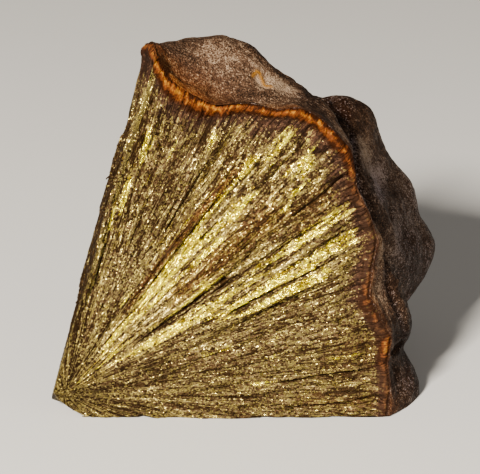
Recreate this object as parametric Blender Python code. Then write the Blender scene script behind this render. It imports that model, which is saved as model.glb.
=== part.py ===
"""A wedge broken from a radiating marcasite nodule, resting on its flat broken base.

The wedge is one grown piece. Fibres spread from a nucleus near one bottom corner to a lumpy
crust. Three broken faces follow the fibres: a broad front, a back and a narrow left facet. The
solid is lofted ring by ring from the crust down to a small broken end beside the nucleus.

Angles are seen from the nucleus. The spread angle turns up from the +X axis inside the front
face, and the back angle turns from the front face towards +Y.
"""

import math

import bmesh
import bpy
from mathutils import Vector, noise

MM = 0.001

# ---- the nucleus and the broken faces, in millimetres and degrees ----
NUCLEUS = Vector((0.0, 0.35, 3.35))
FRONT_LEAN = 6.0
BACK_RUN = 0.7375        # how far the back face goes back for each step in X
BACK_RISE = 0.15         # and for each step up
LEFT_SPREAD = (74.8, 76.9)   # spread angle of the left facet, at the front and at the back

# The small broken end beside the nucleus: its corners, and how far its middle swells out.
END_FRONT_TOP = Vector((-1.5, 0.40, 3.7))
END_BACK_TOP = Vector((-2.0, 3.00, 1.4))
END_FRONT_LOW = Vector((3.0, 0.00, 0.0))
END_BACK_LOW = Vector((3.8, 3.60, 0.0))
END_SWELL = Vector((-0.5, 0.0, -0.2))

# ---- the crust ----
# Fibre length along the front rim: spread angle, millimetres.
RIM = (
    (-4.6, 41.8), (1.0, 42.0), (5.5, 41.8), (10.0, 42.7), (13.6, 41.9), (18.6, 41.2),
    (22.5, 42.6), (27.0, 44.9), (32.0, 45.9), (36.0, 46.3), (41.5, 48.8), (48.0, 48.9),
    (51.5, 48.3), (54.0, 46.3), (58.0, 45.2), (60.0, 44.1), (63.0, 42.7), (67.0, 42.8),
    (69.5, 43.1), (72.0, 44.0), (74.8, 46.9),
)
# Fibre length behind the rim, before the lumps: spread angle, millimetres.
BODY = (
    (-5.0, 46.4), (1.0, 45.8), (7.0, 45.6), (14.0, 45.4), (20.0, 46.8), (27.0, 47.4),
    (35.0, 48.2), (41.0, 49.0), (46.0, 49.4), (54.0, 49.1), (60.0, 49.9), (65.0, 49.0),
    (70.0, 47.6), (77.0, 45.6),
)
RIM_REACH = 10.5         # back angle over which the rim swells out to the body
# Lumps and hollows: spread angle, back angle, their two half widths, height in millimetres.
LUMPS = (
    (65.0, 13.0, 8.0, 5.0, 1.6),
    (49.0, 12.0, 5.0, 4.0, 0.3),
    (39.5, 24.0, 7.5, 8.5, 7.2),
    (26.0, 25.0, 7.5, 9.0, 8.0),
    (14.5, 25.0, 6.2, 9.0, 9.5),
    (-2.0, 9.0, 4.0, 4.0, 1.2),
    (-5.0, 4.0, 3.5, 2.5, 1.7),
    (62.0, 6.0, 6.0, 4.0, -1.0),
    (77.0, 6.0, 3.5, 4.0, 0.7),
    (1.0, 33.0, 6.0, 6.0, 1.4),
)
# Lines across the crust, creases down and crests up: height and half width, then the line.
LINES = (
    (-1.9, 1.9, ((46.0, 17.5), (43.5, 12.0), (41.5, 8.0), (39.0, 4.8), (35.5, 3.8), (31.5, 3.8),
                 (28.0, 4.6), (22.5, 7.6), (17.5, 10.6), (12.5, 13.4), (8.5, 16.5))),
    (0.9, 1.6, ((31.0, 1.6), (27.0, 2.6), (22.0, 4.4), (15.5, 7.0), (9.0, 10.4), (5.5, 13.5))),
    (0.6, 1.8, ((54.0, 12.0), (48.0, 9.5), (44.5, 7.0), (41.5, 4.2))),
    (-0.8, 1.4, ((72.5, 3.0), (68.0, 4.5), (62.0, 4.5), (57.0, 2.5))),
    (-0.9, 1.7, ((9.0, 5.0), (5.0, 8.0), (3.8, 13.0), (4.0, 20.0), (6.0, 27.0))),
    (-0.7, 1.5, ((33.0, 14.0), (27.0, 19.0), (20.0, 21.0), (14.0, 19.0))),
)
RELIEF_FADE = 2.5        # back angle over which the relief fades in behind the rim
# Small pits: spread angle, back angle, half width, depth.
PITS = (
    (57.5, 7.0, 1.4, 0.55), (27.0, 12.0, 1.3, 0.5), (6.0, 5.5, 1.1, 0.45), (70.0, 9.0, 1.3, 0.4),
    (12.0, 17.0, 1.5, 0.6), (46.0, 22.0, 1.6, 0.6), (30.0, 26.0, 1.6, 0.5), (50.0, 9.5, 1.2, 0.4),
)
PIT_WALL = (0.5, 1.4)    # a pit's wall runs between these shares of its half width
ROUGHNESS = ((4.5, 0.34), (2.2, 0.16))   # size and height of the knobs all over the crust
BASE_FADE = 12.0         # the knobs fade in over one part in this many above the base

# ---- the broken faces ----
RIM_BEVEL = 0.45         # worn edge of the rust rim
WORN_EDGE = 0.985        # share of the fibre length where that edge begins
RIM_LEDGE = 0.30         # the dark band inside the rim lies this much lower
DARK_BAND = (0.89, 0.93, 0.955, 0.975)   # shares where the ledge begins, is full, ends and is gone
# Relief of the fibre bundles: width in degrees, turns along the fibre, height, terraces.
BUNDLES = ((9.0, 1.3, 0.95, 5.0), (3.4, 3.5, 0.42, 0.0))
BUNDLE_GROWTH = 0.5      # share of the fibre length by which the relief is full
RISER = (0.3, 0.7)       # part of a terrace that is its step
# Each broken face reads the bundles at a place of its own, and at its own strength.
FRONT_SEED = 3.0
BACK_SEED = 31.0
BACK_STRENGTH = 1.6
LEFT_SEED = 57.0
LEFT_STRENGTH = 0.7
LEFT_ANGLE = 14.0        # degrees across the left facet
LEFT_STEP = 0.5          # share of the rim's steps that shows there
# Bow of the left facet: share of the fibre length, shift towards -X.
LEFT_BOW = ((0.0, 0.0), (0.25, 0.15), (0.50, 0.2), (0.66, -0.05), (0.84, -0.6), (1.0, 0.1))
# Cracks and grooves of the front face: spread angle, half width, depth, then the shares of the
# fibre length where each begins and ends.
GROOVES = (
    (3.1, 0.9, 0.6, 0.62, 0.93), (-2.2, 0.9, 0.5, 0.64, 0.92), (-0.9, 0.8, 0.4, 0.45, 0.66),
    (56.5, 1.3, 0.9, 0.42, 0.93), (38.0, 1.8, 0.7, 0.45, 0.85), (34.5, 1.0, 0.5, 0.70, 1.00),
    (62.5, 1.0, 0.9, 0.78, 1.00), (10.5, 1.6, 0.9, 0.90, 0.97), (24.5, 1.0, 0.4, 0.30, 0.80),
    (72.0, 1.0, 0.5, 0.20, 0.80), (53.7, 0.9, 0.6, 0.80, 1.00), (18.5, 1.0, 0.5, 0.35, 0.75),
)
GROOVE_ONSET = 0.12      # share of the fibre length over which a groove deepens
GROOVE_END = (-0.06, 0.04)   # and over which it closes, about its end

# ---- the loft ----
COLUMNS = 72             # along the rim
ROWS = 29                # from the front rim to the back rim
# Shares of the fibre length where the rings of the loft lie.
RINGS = (0.985, 0.96, 0.93, 0.89, 0.84, 0.78, 0.71, 0.63, 0.54, 0.45, 0.36, 0.25, 0.12, 0.0)
EDGE = 0.001             # how near its edge a patch coordinate counts as on it
SETTLING = 6             # rounds in which a crust point and its fibre length settle
STONE_COLOUR = (0.23, 0.16, 0.07, 1.0)


def smooth(low, high, value):
    """Rise from 0 to 1 between low and high."""
    share = min(max((value - low) / (high - low), 0.0), 1.0)
    return share * share * (3.0 - 2.0 * share)


def along(table, value):
    """Read a table of (place, amount) rows at a value between its places."""
    for (place, amount), (following, ending) in zip(table, table[1:]):
        if value <= following:
            return amount + (ending - amount) * smooth(place, following, value)
    return table[-1][1]


def distance_to_line(point, line):
    """Distance from a point to a line of points, both in degrees."""
    nearest = math.inf
    for start, end in zip(line, line[1:]):
        start, end = Vector(start), Vector(end)
        run = end - start
        share = min(max((point - start).dot(run) / run.dot(run), 0.0), 1.0)
        nearest = min(nearest, (point - start - run * share).length)
    return nearest


def fibre(spread, back):
    """Unit vector of the fibre at a spread angle and a back angle."""
    lean = math.radians(FRONT_LEAN)
    upward = Vector((0.0, math.sin(lean), math.cos(lean)))
    inward = Vector((0.0, math.cos(lean), -math.sin(lean)))
    flat = Vector((1.0, 0.0, 0.0)) * math.cos(spread) + upward * math.sin(spread)
    return flat * math.cos(back) + inward * math.sin(back)


def back_limit(spread):
    """Back angle where the fibres of a spread angle meet the back face."""
    lean = math.radians(FRONT_LEAN)
    run = BACK_RUN * math.cos(spread)
    rise = (BACK_RISE * math.cos(lean) - math.sin(lean)) * math.sin(spread)
    return math.atan2(run + rise, math.cos(lean) + BACK_RISE * math.sin(lean))


def crust_length(spread, back):
    """Fibre length in millimetres, from the nucleus to the crust. Angles are in degrees."""
    rim = along(RIM, spread)
    length = rim + (along(BODY, spread) - rim) * smooth(0.0, RIM_REACH, back)
    relief = 0.0
    for lump_spread, lump_back, wide, deep, height in LUMPS:
        away = ((spread - lump_spread) / wide) ** 2 + ((back - lump_back) / deep) ** 2
        relief += height * math.exp(-away)
    point = Vector((spread, back))
    for height, width, line in LINES:
        relief += height * math.exp(-((distance_to_line(point, line) / width) ** 2))
    for pit_spread, pit_back, width, depth in PITS:
        away = (point - Vector((pit_spread, pit_back))).length
        relief -= depth * (1.0 - smooth(width * PIT_WALL[0], width * PIT_WALL[1], away))
    return length + relief * smooth(0.0, RELIEF_FADE, back)


def knobs(place):
    """Height of the small knobs at a place on the crust, in millimetres."""
    return sum(height * noise.noise(place / size) for size, height in ROUGHNESS)


def base_spread(back, length):
    """Spread angle of the fibre that ends on the base, at a back angle."""
    lean = math.radians(FRONT_LEAN)
    drop = -NUCLEUS.z / length + math.sin(back) * math.sin(lean)
    return math.asin(drop / (math.cos(back) * math.cos(lean)))


def crust_point(across, behind):
    """Point of the crust. Across runs 0 to 1 from base to left facet, behind from front to back."""
    spread = 0.0
    back = 0.0
    length = BODY[0][1]
    for _ in range(SETTLING):
        low = base_spread(back, length)
        high = math.radians(LEFT_SPREAD[0] + (LEFT_SPREAD[1] - LEFT_SPREAD[0]) * behind)
        spread = low + (high - low) * across
        back = behind * back_limit(spread)
        length = crust_length(math.degrees(spread), math.degrees(back))
    point = NUCLEUS + fibre(spread, back) * length
    worn = smooth(0.0, RELIEF_FADE, math.degrees(back)) * min(1.0, across * BASE_FADE)
    return point + fibre(spread, back) * knobs(point) * worn


def end_point(across, behind):
    """Point of the small broken end beside the nucleus."""
    low = END_FRONT_LOW.lerp(END_BACK_LOW, behind)
    high = END_FRONT_TOP.lerp(END_BACK_TOP, behind)
    return low.lerp(high, across) + END_SWELL * (4.0 * across * (1.0 - across))


def terrace(height, steps):
    """Gather a smooth height into level steps."""
    level = math.floor(height * steps)
    return (level + smooth(*RISER, height * steps - level)) / steps


def bundle_height(place, share, seed):
    """Relief of the fibre bundles at a place across a broken face, in degrees, and a share."""
    total = 0.0
    for width, turns, height, steps in BUNDLES:
        value = noise.noise(Vector((place / width, share * turns, seed + width)))
        total += height * (terrace(value, steps) if steps else value)
    return total * smooth(0.0, BUNDLE_GROWTH, share)


def groove_depth(spread, share):
    """Depth of the grooves and cracks of the front face."""
    depth = 0.0
    for angle, width, deep, begins, ends in GROOVES:
        opened = smooth(begins, begins + GROOVE_ONSET, share)
        closed = smooth(ends + GROOVE_END[0], ends + GROOVE_END[1], share)
        depth += deep * opened * (1.0 - closed) * math.exp(-(((spread - angle) / width) ** 2))
    return depth


def rim_step(share):
    """How far a broken face drops at its worn rim and in the dark band inside it."""
    begins, full, ends, gone = DARK_BAND
    band = smooth(begins, full, share) * (1.0 - smooth(ends, gone, share))
    return RIM_BEVEL * smooth(WORN_EDGE, 1.0, share) + RIM_LEDGE * band


def face_shift(across, behind, share):
    """Move a point of the broken faces off its flat face. The base stays flat."""
    shift = Vector((0.0, 0.0, 0.0))
    lowest = RIM[0][0]
    spread = lowest + (LEFT_SPREAD[0] - lowest) * across
    step = rim_step(share)
    if behind < EDGE:
        shift.y -= bundle_height(spread, share, FRONT_SEED) - groove_depth(spread, share) - step
    if behind > 1.0 - EDGE:
        outward = Vector((-BACK_RUN, 1.0, 0.0)).normalized()
        shift += outward * (bundle_height(spread, share, BACK_SEED) * BACK_STRENGTH - step)
    if across > 1.0 - EDGE:
        height = bundle_height(behind * LEFT_ANGLE, share, LEFT_SEED) * LEFT_STRENGTH
        shift.x -= height - step * LEFT_STEP + along(LEFT_BOW, share)
    return shift


def loft():
    """Build the closed solid from the crust inwards and return its bmesh, in millimetres."""
    bm = bmesh.new()
    across = bm.verts.layers.float.new("across")
    behind = bm.verts.layers.float.new("behind")
    rim = bm.verts.layers.float_vector.new("rim")
    bmesh.ops.create_grid(bm, x_segments=COLUMNS, y_segments=ROWS, size=0.5)
    for vert in bm.verts:
        vert[across] = vert.co.x + 0.5
        vert[behind] = vert.co.y + 0.5
        vert[rim] = crust_point(vert[across], vert[behind])
        vert.co = vert[rim] + face_shift(vert[across], vert[behind], 1.0)

    ring = list(bm.faces)
    for number, share in enumerate(RINGS):
        grown = bmesh.ops.extrude_face_region(bm, geom=ring, use_keep_orig=True)
        if number:
            bmesh.ops.delete(bm, geom=ring, context="FACES")
        ring = [item for item in grown["geom"] if isinstance(item, bmesh.types.BMFace)]
        for vert in {vert for face in ring for vert in face.verts}:
            end = end_point(vert[across], vert[behind])
            vert.co = end.lerp(vert[rim], share)
            vert.co += face_shift(vert[across], vert[behind], share)
    bmesh.ops.dissolve_faces(bm, faces=ring, use_verts=False)
    bmesh.ops.triangulate(bm, faces=bm.faces, quad_method="SHORT_EDGE")
    bmesh.ops.recalc_face_normals(bm, faces=bm.faces)
    return bm


def make_stone_material():
    """Plain brown stone with a dull metal shine."""
    material = bpy.data.materials.new("marcasite")
    material.use_nodes = True
    shader = material.node_tree.nodes["Principled BSDF"]
    shader.inputs["Base Color"].default_value = STONE_COLOUR
    shader.inputs["Metallic"].default_value = 0.0
    shader.inputs["Roughness"].default_value = 0.5
    return material


def build():
    """Put the nodule in the scene, base at z = 0 and centred on the origin."""
    bm = loft()
    low = [min(vert.co[axis] for vert in bm.verts) for axis in range(3)]
    high = [max(vert.co[axis] for vert in bm.verts) for axis in range(3)]
    centre = Vector(((low[0] + high[0]) / 2, (low[1] + high[1]) / 2, low[2]))
    for vert in bm.verts:
        vert.co = (vert.co - centre) * MM
    mesh = bpy.data.meshes.new("marcasite_nodule")
    bm.to_mesh(mesh)
    bm.free()
    mesh.materials.append(make_stone_material())
    nodule = bpy.data.objects.new("marcasite_nodule", mesh)
    bpy.context.scene.collection.objects.link(nodule)


def main():
    for item in list(bpy.data.objects):
        bpy.data.objects.remove(item)
    build()


if __name__ == "__main__":
    main()
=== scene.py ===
"""Dresses a wedge broken from a radiating marcasite nodule.

The wedge is one grown piece. Its net starts as a grid over the lumpy crust and is extruded ring
by ring down the fibres to a small broken end beside the nucleus, where all the fibres start. The
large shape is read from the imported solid, and the net adds the fine relief: splinters and cracks
on the broken faces, knobs and folds on the crust, and the worn rust rim between. Three fields of
small blades, the free ends of fibres, lie on the broken faces.

Angles are seen from the nucleus. The spread angle turns up from the +X axis inside the front
face, and the back angle turns from the front face towards +Y. Lengths are in metres.
"""

import math

import bmesh
import bpy
import numpy as np
from bpy.props import FloatProperty, FloatVectorProperty, IntProperty, PointerProperty
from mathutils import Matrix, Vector, noise
from mathutils.bvhtree import BVHTree


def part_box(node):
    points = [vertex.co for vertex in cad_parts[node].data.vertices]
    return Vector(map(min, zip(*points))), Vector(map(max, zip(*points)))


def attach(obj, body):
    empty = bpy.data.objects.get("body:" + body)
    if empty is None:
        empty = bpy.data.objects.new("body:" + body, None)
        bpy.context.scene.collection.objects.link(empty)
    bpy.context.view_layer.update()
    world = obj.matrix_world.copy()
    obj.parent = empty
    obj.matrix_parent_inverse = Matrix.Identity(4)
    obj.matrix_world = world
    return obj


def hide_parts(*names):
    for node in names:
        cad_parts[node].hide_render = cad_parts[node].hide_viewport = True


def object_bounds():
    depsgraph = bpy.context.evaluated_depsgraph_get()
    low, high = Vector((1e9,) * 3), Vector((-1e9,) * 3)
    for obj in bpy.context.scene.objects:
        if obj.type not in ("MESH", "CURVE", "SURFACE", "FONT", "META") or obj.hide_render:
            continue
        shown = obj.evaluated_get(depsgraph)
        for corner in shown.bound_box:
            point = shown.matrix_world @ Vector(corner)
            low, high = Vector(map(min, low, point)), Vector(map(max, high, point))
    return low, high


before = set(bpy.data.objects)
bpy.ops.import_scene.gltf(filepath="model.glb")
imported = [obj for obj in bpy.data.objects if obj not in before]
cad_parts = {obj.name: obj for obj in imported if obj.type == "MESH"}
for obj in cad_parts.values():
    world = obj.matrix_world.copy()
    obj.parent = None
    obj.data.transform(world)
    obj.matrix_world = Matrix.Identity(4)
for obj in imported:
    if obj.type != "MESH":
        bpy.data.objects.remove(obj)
CAD_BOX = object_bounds()
NODE = "marcasite_nodule"
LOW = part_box(NODE)[0]

bl_info = {
    "name": "Marcasite Nodule",
    "version": (1, 0, 0),
    "blender": (4, 5, 0),
    "location": "View3D > Sidebar > Marcasite",
    "description": "Dresses a broken wedge of a radiating marcasite nodule",
    "category": "Object",
}

MM = 0.001

# ---- the broken faces, as in the solid ----
NUCLEUS_IN_BOX = Vector((1.999, 0.572, 3.35)) * MM   # from the lowest corner of the solid's box
NUCLEUS = LOW + NUCLEUS_IN_BOX
FRONT_LEAN = math.radians(6.0)
BACK_RUN = 0.7375
BACK_RISE = 0.15
LEFT_SPREAD = (74.8, 76.9)
EDGE_MARGIN = 2.6        # degrees inside the broken faces where the solid's crust is read
RIM_SWELL = 0.4 * MM     # how much longer the fibres are there than at the back rim
END_FRONT_TOP = Vector((-1.5, 0.05, 0.35)) * MM
END_BACK_TOP = Vector((-2.0, 2.65, -1.95)) * MM
END_FRONT_LOW = Vector((3.0, -0.35, -3.35)) * MM
END_BACK_LOW = Vector((3.8, 3.25, -3.35)) * MM
END_SWELL = Vector((-0.5, 0.0, -0.2)) * MM

# ---- the front face: inner and outer spread angle, half width (degrees), from, to (mm), strength ----
# Bundles of fibres that shine. Their facets lean towards the light, and a painted highlight makes their
# colour brighter.
STREAKS = (
    (31.6, 31.6, 2.3, 13.0, 24.0, 1.0), (31.2, 31.6, 1.3, 9.0, 14.0, 0.6),
    (28.7, 28.9, 0.9, 22.0, 30.0, 0.8), (29.2, 29.4, 1.2, 28.0, 43.0, 1.0),
    (25.5, 25.6, 1.15, 28.0, 38.0, 0.9), (28.0, 24.4, 0.8, 21.5, 27.5, 0.65),
    (34.2, 33.6, 0.7, 27.0, 37.0, 1.0), (34.0, 34.2, 1.3, 35.0, 44.0, 0.95),
    (32.0, 32.2, 0.9, 23.0, 31.0, 0.5), (16.6, 16.6, 1.8, 18.0, 23.0, 0.45),
    (11.0, 11.0, 0.7, 26.8, 28.8, 0.6), (14.4, 15.6, 0.8, 26.5, 29.0, 0.4),
    (2.9, 2.7, 0.5, 23.5, 27.0, 0.5), (7.9, 7.9, 0.3, 34.0, 40.0, 0.4), (13.6, 13.6, 1.5, 36.5, 39.5, 0.3),
    (44.5, 46.5, 1.6, 1.5, 9.0, 0.6), (38.5, 41.0, 0.9, 3.0, 12.0, 0.5), (33.0, 32.5, 1.0, 5.0, 14.0, 0.45),
    (38.4, 38.0, 0.6, 14.0, 26.0, 0.55), (39.8, 39.8, 0.9, 21.5, 24.5, 0.5),
    (41.2, 43.2, 0.5, 37.0, 42.5, 0.7), (42.0, 42.0, 1.2, 8.0, 10.5, 0.6),
    (50.0, 50.0, 2.0, 8.0, 13.0, 0.8), (49.6, 49.8, 1.6, 13.0, 28.0, 0.85),
    (47.0, 45.6, 0.9, 14.0, 29.0, 0.6), (48.4, 47.6, 1.0, 27.0, 37.0, 0.8),
    (51.9, 52.0, 0.35, 15.0, 36.0, 0.75), (52.0, 52.0, 1.0, 37.0, 39.5, 0.9),
    (60.3, 60.3, 0.5, 38.0, 39.8, 0.8), (58.8, 56.4, 0.4, 12.5, 18.0, 0.5),
    (55.7, 54.5, 0.2, 20.0, 34.0, 0.5), (63.5, 63.5, 2.0, 11.0, 13.5, 0.4),
    (73.3, 73.3, 0.9, 25.5, 30.0, 0.9), (74.4, 74.4, 0.6, 22.5, 26.0, 0.8),
    (71.6, 71.6, 1.0, 32.5, 37.0, 0.5), (66.3, 66.3, 0.25, 34.5, 37.5, 0.5),
    (68.8, 68.8, 0.8, 29.5, 31.0, 0.35), (50.0, 50.0, 1.5, 41.0, 46.0, 0.35),
    (45.0, 45.0, 1.5, 41.0, 46.0, 0.3),
)
# Lighter and darker parts.
TONES = (
    (44.0, 44.0, 12.0, -6.0, 34.0, 0.09), (53.0, 53.0, 7.0, 18.0, 46.0, 0.07),
    (29.0, 29.0, 5.0, 2.0, 46.0, 0.05), (4.0, 4.0, 9.0, 8.0, 50.0, -0.01),
    (55.0, 53.3, 1.0, 14.0, 37.0, -0.15), (36.0, 35.5, 1.2, 12.0, 28.0, -0.12),
    (61.7, 61.7, 0.6, 36.0, 43.0, -0.15), (39.0, 39.0, 1.2, 38.0, 46.0, -0.12),
    (64.5, 64.5, 1.5, 20.0, 38.0, -0.06), (57.5, 57.5, 1.5, 24.0, 38.0, -0.05),
    (11.5, 11.5, 4.0, 18.0, 27.0, -0.05), (-1.5, -1.5, 1.0, 14.0, 25.0, -0.10),
    (17.0, 17.0, 10.0, 5.0, 15.0, -0.05), (56.0, 56.0, 5.0, 41.0, 50.0, -0.10),
    (63.0, 63.0, 6.0, 12.0, 38.0, -0.05), (74.4, 74.4, 1.0, 40.0, 50.0, 0.20),
    (45.0, 45.0, 14.0, 16.0, 42.0, 0.04), (74.9, 74.9, 0.25, 6.0, 50.0, 0.26),
    (74.1, 74.1, 0.35, 6.0, 50.0, -0.16),
)
# Dull brown bundles.
DULL = (
    (42.0, 42.0, 3.0, 19.0, 38.0, 0.8), (39.0, 39.0, 1.3, 37.5, 45.0, 0.5),
    (36.5, 36.5, 1.0, 36.0, 44.0, 0.4), (55.0, 53.3, 1.1, 14.0, 38.0, 1.0),
    (-2.0, -2.0, 2.0, 30.0, 42.0, 0.35), (9.0, 9.0, 4.0, 34.0, 42.0, 0.3),
)
# Coarse crystals that lie across the fibres.
CHUNKY = (
    (46.5, 46.5, 7.5, 36.0, 47.0, 1.0), (48.5, 48.5, 5.0, 24.0, 38.0, 0.6),
    (69.0, 69.0, 4.0, 24.0, 40.0, 0.5), (26.0, 26.0, 4.0, 30.0, 44.0, 0.4),
    (41.0, 41.0, 3.0, 20.0, 38.0, 0.4),
)
# Even, finely sparkling parts.
CALM = (
    (61.0, 61.0, 5.5, 16.0, 60.0, 1.0), (66.0, 66.0, 9.0, 3.0, 22.0, 0.8),
    (6.0, 6.0, 17.0, -5.0, 60.0, 1.0), (22.0, 22.0, 4.0, 8.0, 24.0, 0.7),
)
# Cracks and furrows, with their depth (mm) as the strength. They are cut into the face, and painted shade
# darkens their colour.
CRACKS = (
    (34.9, 34.9, 0.35, 13.0, 40.0, 0.40), (27.3, 27.4, 0.28, 24.0, 38.0, 0.35),
    (29.6, 31.0, 0.25, 24.0, 43.0, 0.30), (29.4, 33.0, 0.15, 16.5, 24.5, 0.25),
    (33.9, 32.9, 0.2, 27.0, 35.0, 0.25), (20.4, 20.4, 0.2, 19.0, 34.0, 0.22),
    (2.8, 4.3, 0.28, 28.0, 38.5, 0.50), (-4.5, -1.0, 0.3, 28.0, 40.5, 0.35),
    (-2.0, -1.0, 0.35, 14.0, 27.5, 0.30), (-0.5, 0.2, 0.25, 24.0, 38.0, 0.25),
    (14.9, 14.9, 0.25, 18.5, 21.5, 0.25), (54.6, 54.0, 0.3, 15.0, 37.0, 0.25),
    (52.6, 52.4, 0.3, 19.0, 37.0, 0.25), (55.6, 54.4, 0.15, 20.0, 34.0, 0.20),
    (58.8, 58.8, 0.25, 25.0, 35.0, 0.30), (60.2, 60.2, 0.3, 26.5, 33.0, 0.20),
    (61.7, 61.7, 0.45, 36.8, 42.4, 0.50), (47.0, 47.0, 0.3, 38.5, 42.5, 0.30),
    (49.6, 49.2, 0.2, 25.0, 33.0, 0.20), (57.5, 55.5, 0.35, 11.0, 20.0, 0.30),
    (45.0, 44.6, 0.3, 20.0, 34.0, 0.20), (36.0, 36.3, 0.5, 14.0, 26.0, 0.25),
    (50.7, 50.7, 0.15, 22.0, 32.0, 0.25), (38.9, 38.9, 0.35, 38.0, 46.0, 0.30),
    (67.0, 67.0, 0.25, 14.0, 34.0, 0.15), (9.6, 9.6, 0.2, 20.0, 40.0, 0.15),
    (6.4, 6.4, 0.2, 12.0, 30.0, 0.15), (17.6, 17.6, 0.2, 24.0, 32.0, 0.20),
    (23.2, 23.2, 0.2, 28.0, 40.0, 0.15), (71.0, 71.0, 0.25, 16.0, 36.0, 0.15),
    (64.0, 64.0, 0.2, 20.0, 36.0, 0.12),
)

# ---- the rim of the front face ----
# Fibre length along it: spread, mm.
RIM = (
    (-4.6, 41.8), (1.0, 42.0), (5.5, 41.8), (10.0, 42.7), (13.6, 41.9), (18.6, 41.2), (22.5, 42.6),
    (27.0, 44.9), (32.0, 45.9), (36.0, 46.3), (41.5, 48.8), (48.0, 48.9), (51.5, 48.3), (54.0, 46.3),
    (58.0, 45.2), (60.0, 44.1), (63.0, 42.7), (67.0, 42.8), (69.5, 43.1), (72.0, 44.0), (74.8, 46.9),
)
# Width of the rust rim: spread, mm.
RIM_WIDTHS = (
    (-5.0, 1.1), (4.0, 1.5), (10.0, 1.7), (16.0, 1.5), (24.0, 1.3), (32.0, 1.2), (40.0, 1.5), (50.0, 1.6),
    (54.0, 1.4), (58.0, 1.6), (62.0, 2.1), (67.0, 2.2), (72.0, 2.2), (74.0, 1.7), (75.0, 1.3),
)
# Width of the dark band inside the rust rim: spread, mm.
BAND_WIDTHS = (
    (-5.0, 1.9), (8.0, 2.0), (18.0, 2.8), (24.0, 3.4), (30.0, 3.0), (36.0, 4.0), (44.0, 4.2), (52.0, 4.8),
    (58.0, 4.2), (62.0, 4.0), (68.0, 4.8), (72.0, 4.6), (75.0, 0.7),
)
# How orange the rust rim is: spread, share.
RUST_SHARES = (
    (-5.0, 0.15), (3.0, 0.20), (6.5, 0.55), (9.5, 0.60), (12.0, 0.25), (15.0, 0.50), (20.0, 0.48),
    (23.0, 0.20), (28.0, 0.12), (33.0, 0.20), (37.0, 0.50), (42.0, 0.70), (50.0, 0.75), (56.0, 0.80),
    (62.0, 0.90), (66.0, 0.80), (70.0, 0.70), (73.0, 0.85), (75.0, 1.0),
)

# ---- the crust: all places are spread and back angles ----
# The deep crease between the two lobes.
CREASE = (
    (46.5, 26.0), (45.6, 23.0), (44.3, 19.3), (42.6, 16.8), (40.9, 15.1), (40.1, 13.5), (39.5, 11.0),
    (38.5, 8.6), (37.1, 7.0), (34.6, 5.6), (31.0, 5.2), (27.0, 4.9), (23.5, 4.7), (21.0, 4.8), (17.1, 5.4),
    (13.8, 6.0), (10.8, 7.0), (7.6, 8.6), (5.0, 10.5),
)
# Lower folds of the crust, each with its depth (mm) and half width.
FOLDS = (
    (((74.0, 5.6), (69.8, 5.5), (66.9, 5.3), (63.1, 5.1), (60.3, 4.4), (56.0, 4.6)), 0.10, 0.35),
    (((62.0, 9.8), (58.0, 9.4), (54.0, 10.6), (50.0, 12.5)), 0.10, 0.5),
    (((33.0, 8.5), (28.0, 10.0), (23.0, 12.5), (19.0, 14.0)), 0.12, 0.5),
    (((16.3, 6.9), (13.0, 8.5), (9.4, 9.5), (6.5, 11.5)), 0.22, 0.5),
    (((8.5, 0.6), (6.4, 2.6), (6.0, 5.5), (6.8, 8.6)), 0.30, 0.45),
    (((5.4, 3.2), (3.0, 3.6), (0.0, 3.0), (-4.0, 3.6)), 0.22, 0.4),
    (((46.0, 30.0), (40.0, 27.0), (33.0, 26.0), (26.0, 28.5)), 0.15, 0.7),
)
# Pale patches of the crust, among them painted light and a painted sheen: spread, back, half width, half
# depth, strength. Below zero they are painted shade.
PALE_AND_PAINTED_LIGHT_PATCHES = (
    (71.0, 2.2, 2.5, 1.6, 0.3), (31.5, 12.0, 1.8, 4.0, 0.8), (42.5, 20.0, 2.5, 4.0, -0.6),
    (5.0, 9.5, 4.0, 3.0, -0.8), (-1.0, 8.0, 4.0, 3.0, -0.5), (20.0, 5.0, 7.0, 2.5, -0.35),
    (48.0, 10.0, 2.5, 8.0, -0.55), (3.0, 2.5, 4.0, 2.5, -0.2), (17.0, 16.0, 6.0, 5.0, -0.35),
    (13.0, 4.0, 4.0, 2.5, -0.4), (54.5, 7.4, 3.6, 1.7, 1.0), (60.5, 8.2, 5.0, 2.2, 0.45),
    (66.0, 7.4, 3.0, 1.6, 0.25), (46.5, 8.0, 3.0, 2.4, 0.4), (32.0, 16.0, 2.0, 1.8, 0.9),
    (36.0, 12.5, 4.0, 3.4, 0.75), (22.0, 12.0, 5.0, 3.0, 0.35), (16.5, 3.3, 5.5, 1.7, 1.0),
    (25.0, 3.0, 3.5, 1.6, 0.8), (0.0, 5.6, 3.0, 1.4, 0.35), (38.5, 4.5, 5.0, 3.0, 0.45),
    (30.5, 2.5, 4.0, 1.8, 0.6), (33.0, 27.0, 5.0, 4.0, 0.5), (55.0, 22.0, 6.0, 4.0, 0.5),
    (22.0, 24.0, 4.0, 3.0, 0.35),
)
# Patches of painted shade on the crust, in the same way.
PAINTED_SHADE_PATCHES = (
    (32.0, 13.0, 2.5, 5.0, 0.6), (20.0, 15.0, 9.0, 6.0, 0.9), (12.0, 21.0, 6.0, 6.0, 0.9),
    (-1.0, 9.0, 7.0, 5.0, 0.8), (40.0, 6.0, 4.0, 3.0, 0.2), (31.0, 10.0, 3.0, 4.0, 0.5),
    (70.0, 3.0, 5.0, 1.6, 0.15), (3.0, 2.0, 5.0, 2.0, 0.6), (45.0, 22.0, 3.0, 5.0, 0.8),
    (49.0, 6.5, 2.2, 4.0, 0.5), (43.0, 17.5, 2.5, 3.0, 0.6), (26.0, 24.0, 5.0, 5.0, 0.6),
    (0.0, 6.5, 3.0, 2.5, 0.8),
)
# A small scar: its raised orange edge and its tan middle.
SCAR_RING = ((59.2, 6.9), (59.0, 7.5), (58.4, 7.6), (57.8, 7.3), (56.9, 6.6), (55.9, 6.5))
SCAR_LENS = ((58.4, 7.0), (57.4, 6.6), (56.6, 6.1))

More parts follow.
